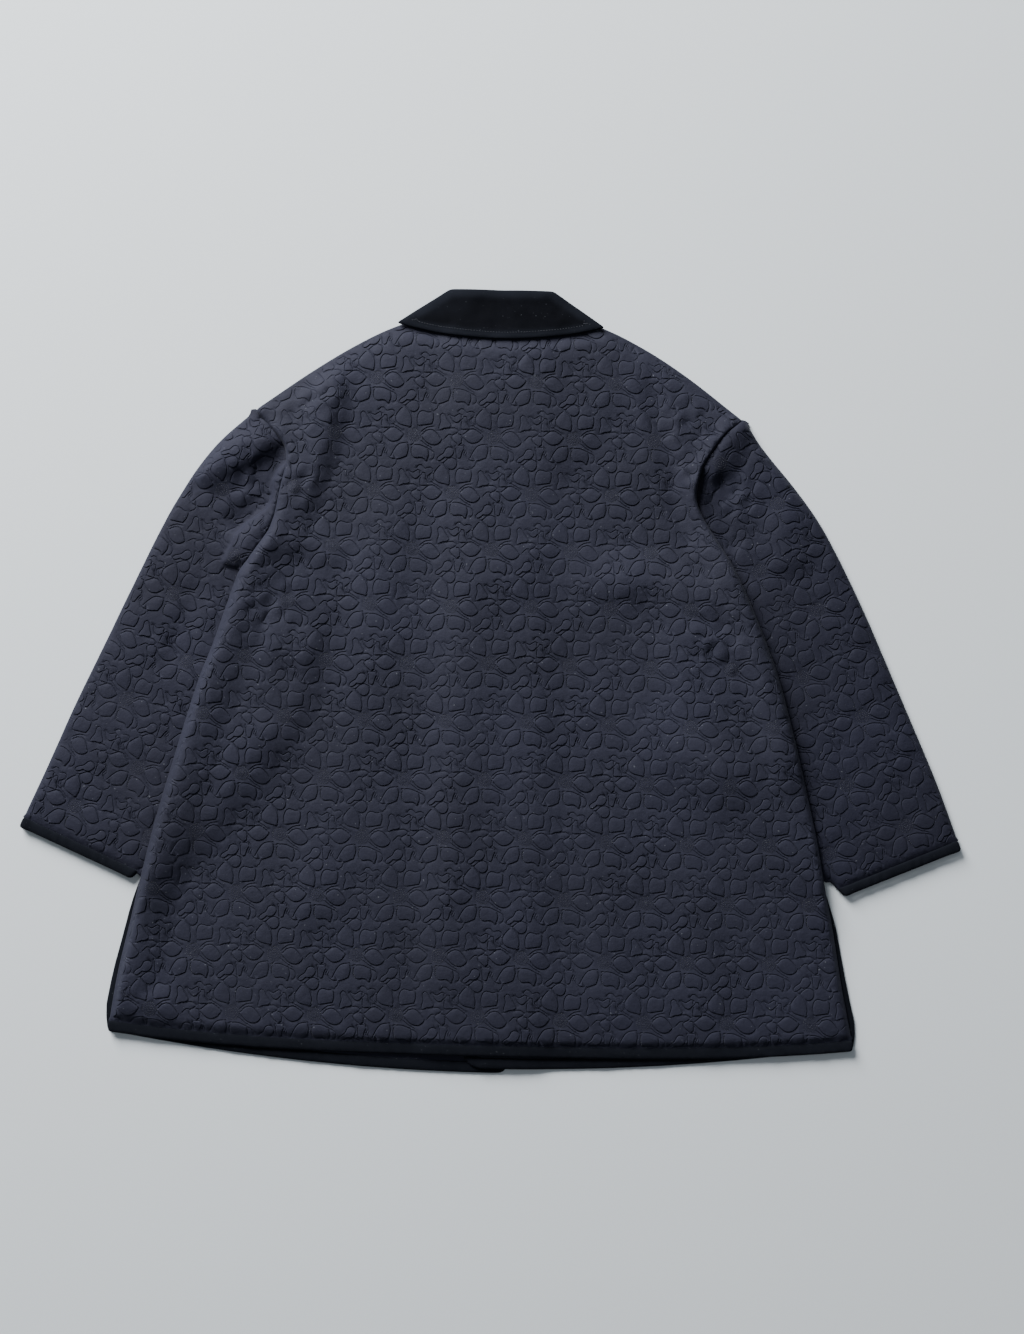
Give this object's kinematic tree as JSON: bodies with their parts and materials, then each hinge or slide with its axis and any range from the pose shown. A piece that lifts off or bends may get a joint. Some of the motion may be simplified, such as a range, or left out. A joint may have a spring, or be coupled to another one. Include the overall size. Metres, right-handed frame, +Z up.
{
  "type": "quilted coat",
  "caption": "Long-sleeved coat in quilted cloth with a turn-down velvet collar and velvet-bound hems, laid flat on its front.",
  "frame": {"origin": "middle of the ground that the coat covers, on the ground", "axes": "+Z up from the ground, +Y from the hem to the collar, +X to the coat's right as its back is seen"},
  "size_m": [1.062, 0.894, 0.0228],
  "materials": {
    "quilted_cloth": "navy cotton, quilted all over with tone-on-tone thread",
    "velvet": "near-black navy velvet with a short pile"
  },
  "bodies": {
    "root": {"back": "quilted_cloth", "front_left": "quilted_cloth", "front_right": "quilted_cloth", "sleeve_left": "quilted_cloth", "sleeve_right": "quilted_cloth", "collar_fall": "velvet", "collar_stand": "velvet", "collar_leaf_left": "velvet", "collar_leaf_right": "velvet", "binding_back_hem": "velvet", "binding_front_left": "velvet", "binding_front_right": "velvet", "binding_cuff_left": "velvet", "binding_cuff_right": "velvet"}
  },
  "joints": []
}
